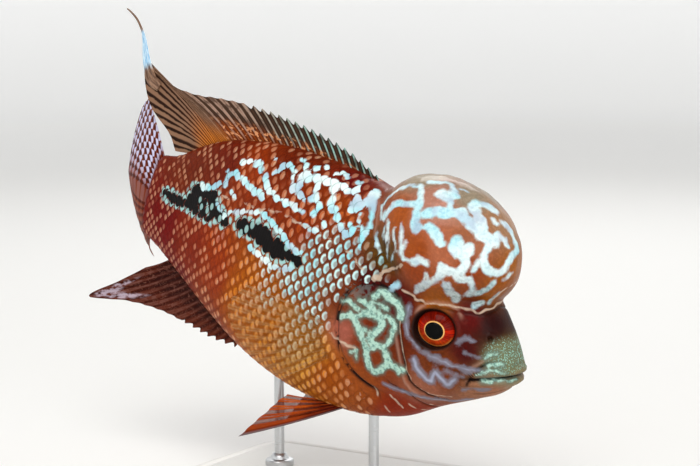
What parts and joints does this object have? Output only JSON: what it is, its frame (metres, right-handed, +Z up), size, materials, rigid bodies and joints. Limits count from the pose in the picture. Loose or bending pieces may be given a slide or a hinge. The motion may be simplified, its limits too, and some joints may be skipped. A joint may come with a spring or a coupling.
{
  "type": "flowerhorn cichlid display model",
  "caption": "Life-size flowerhorn cichlid with a swollen nuchal hump, swimming nose down with its tail swept aside, on a flat base with slim rods.",
  "frame": {"origin": "middle of the base's underside", "axes": "+X is the way the head points, seen from above; +Y is the fish's left; +Z is up"},
  "size_m": [0.2479, 0.092, 0.2164],
  "materials": {
    "skin": "satin red-brown resin",
    "hump skin": "glossy copper-pink resin",
    "gill cover skin": "glossy brown and pale green resin",
    "fin membrane": "satin dark brown resin",
    "clear fin membrane": "satin amber resin",
    "eye": "polished red-orange resin",
    "stand paint": "matt off-white paint",
    "stand steel": "brushed"
  },
  "bodies": {
    "root": {"head": "skin", "torso": "skin", "tail_stalk": "skin", "lower_jaw": "skin", "nuchal_hump": "hump skin", "gill_cover_left": "gill cover skin", "gill_cover_right": "gill cover skin", "eye_left": "eye", "eye_right": "eye", "dorsal_fin": "fin membrane", "anal_fin": "fin membrane", "tail_fin": "fin membrane", "pelvic_fin_left": "fin membrane", "pelvic_fin_right": "fin membrane", "pectoral_fin_left": "clear fin membrane", "pectoral_fin_right": "clear fin membrane", "stand_base": "stand paint", "stand_rod_front": "stand steel", "stand_rod_rear": "stand steel"}
  },
  "joints": []
}
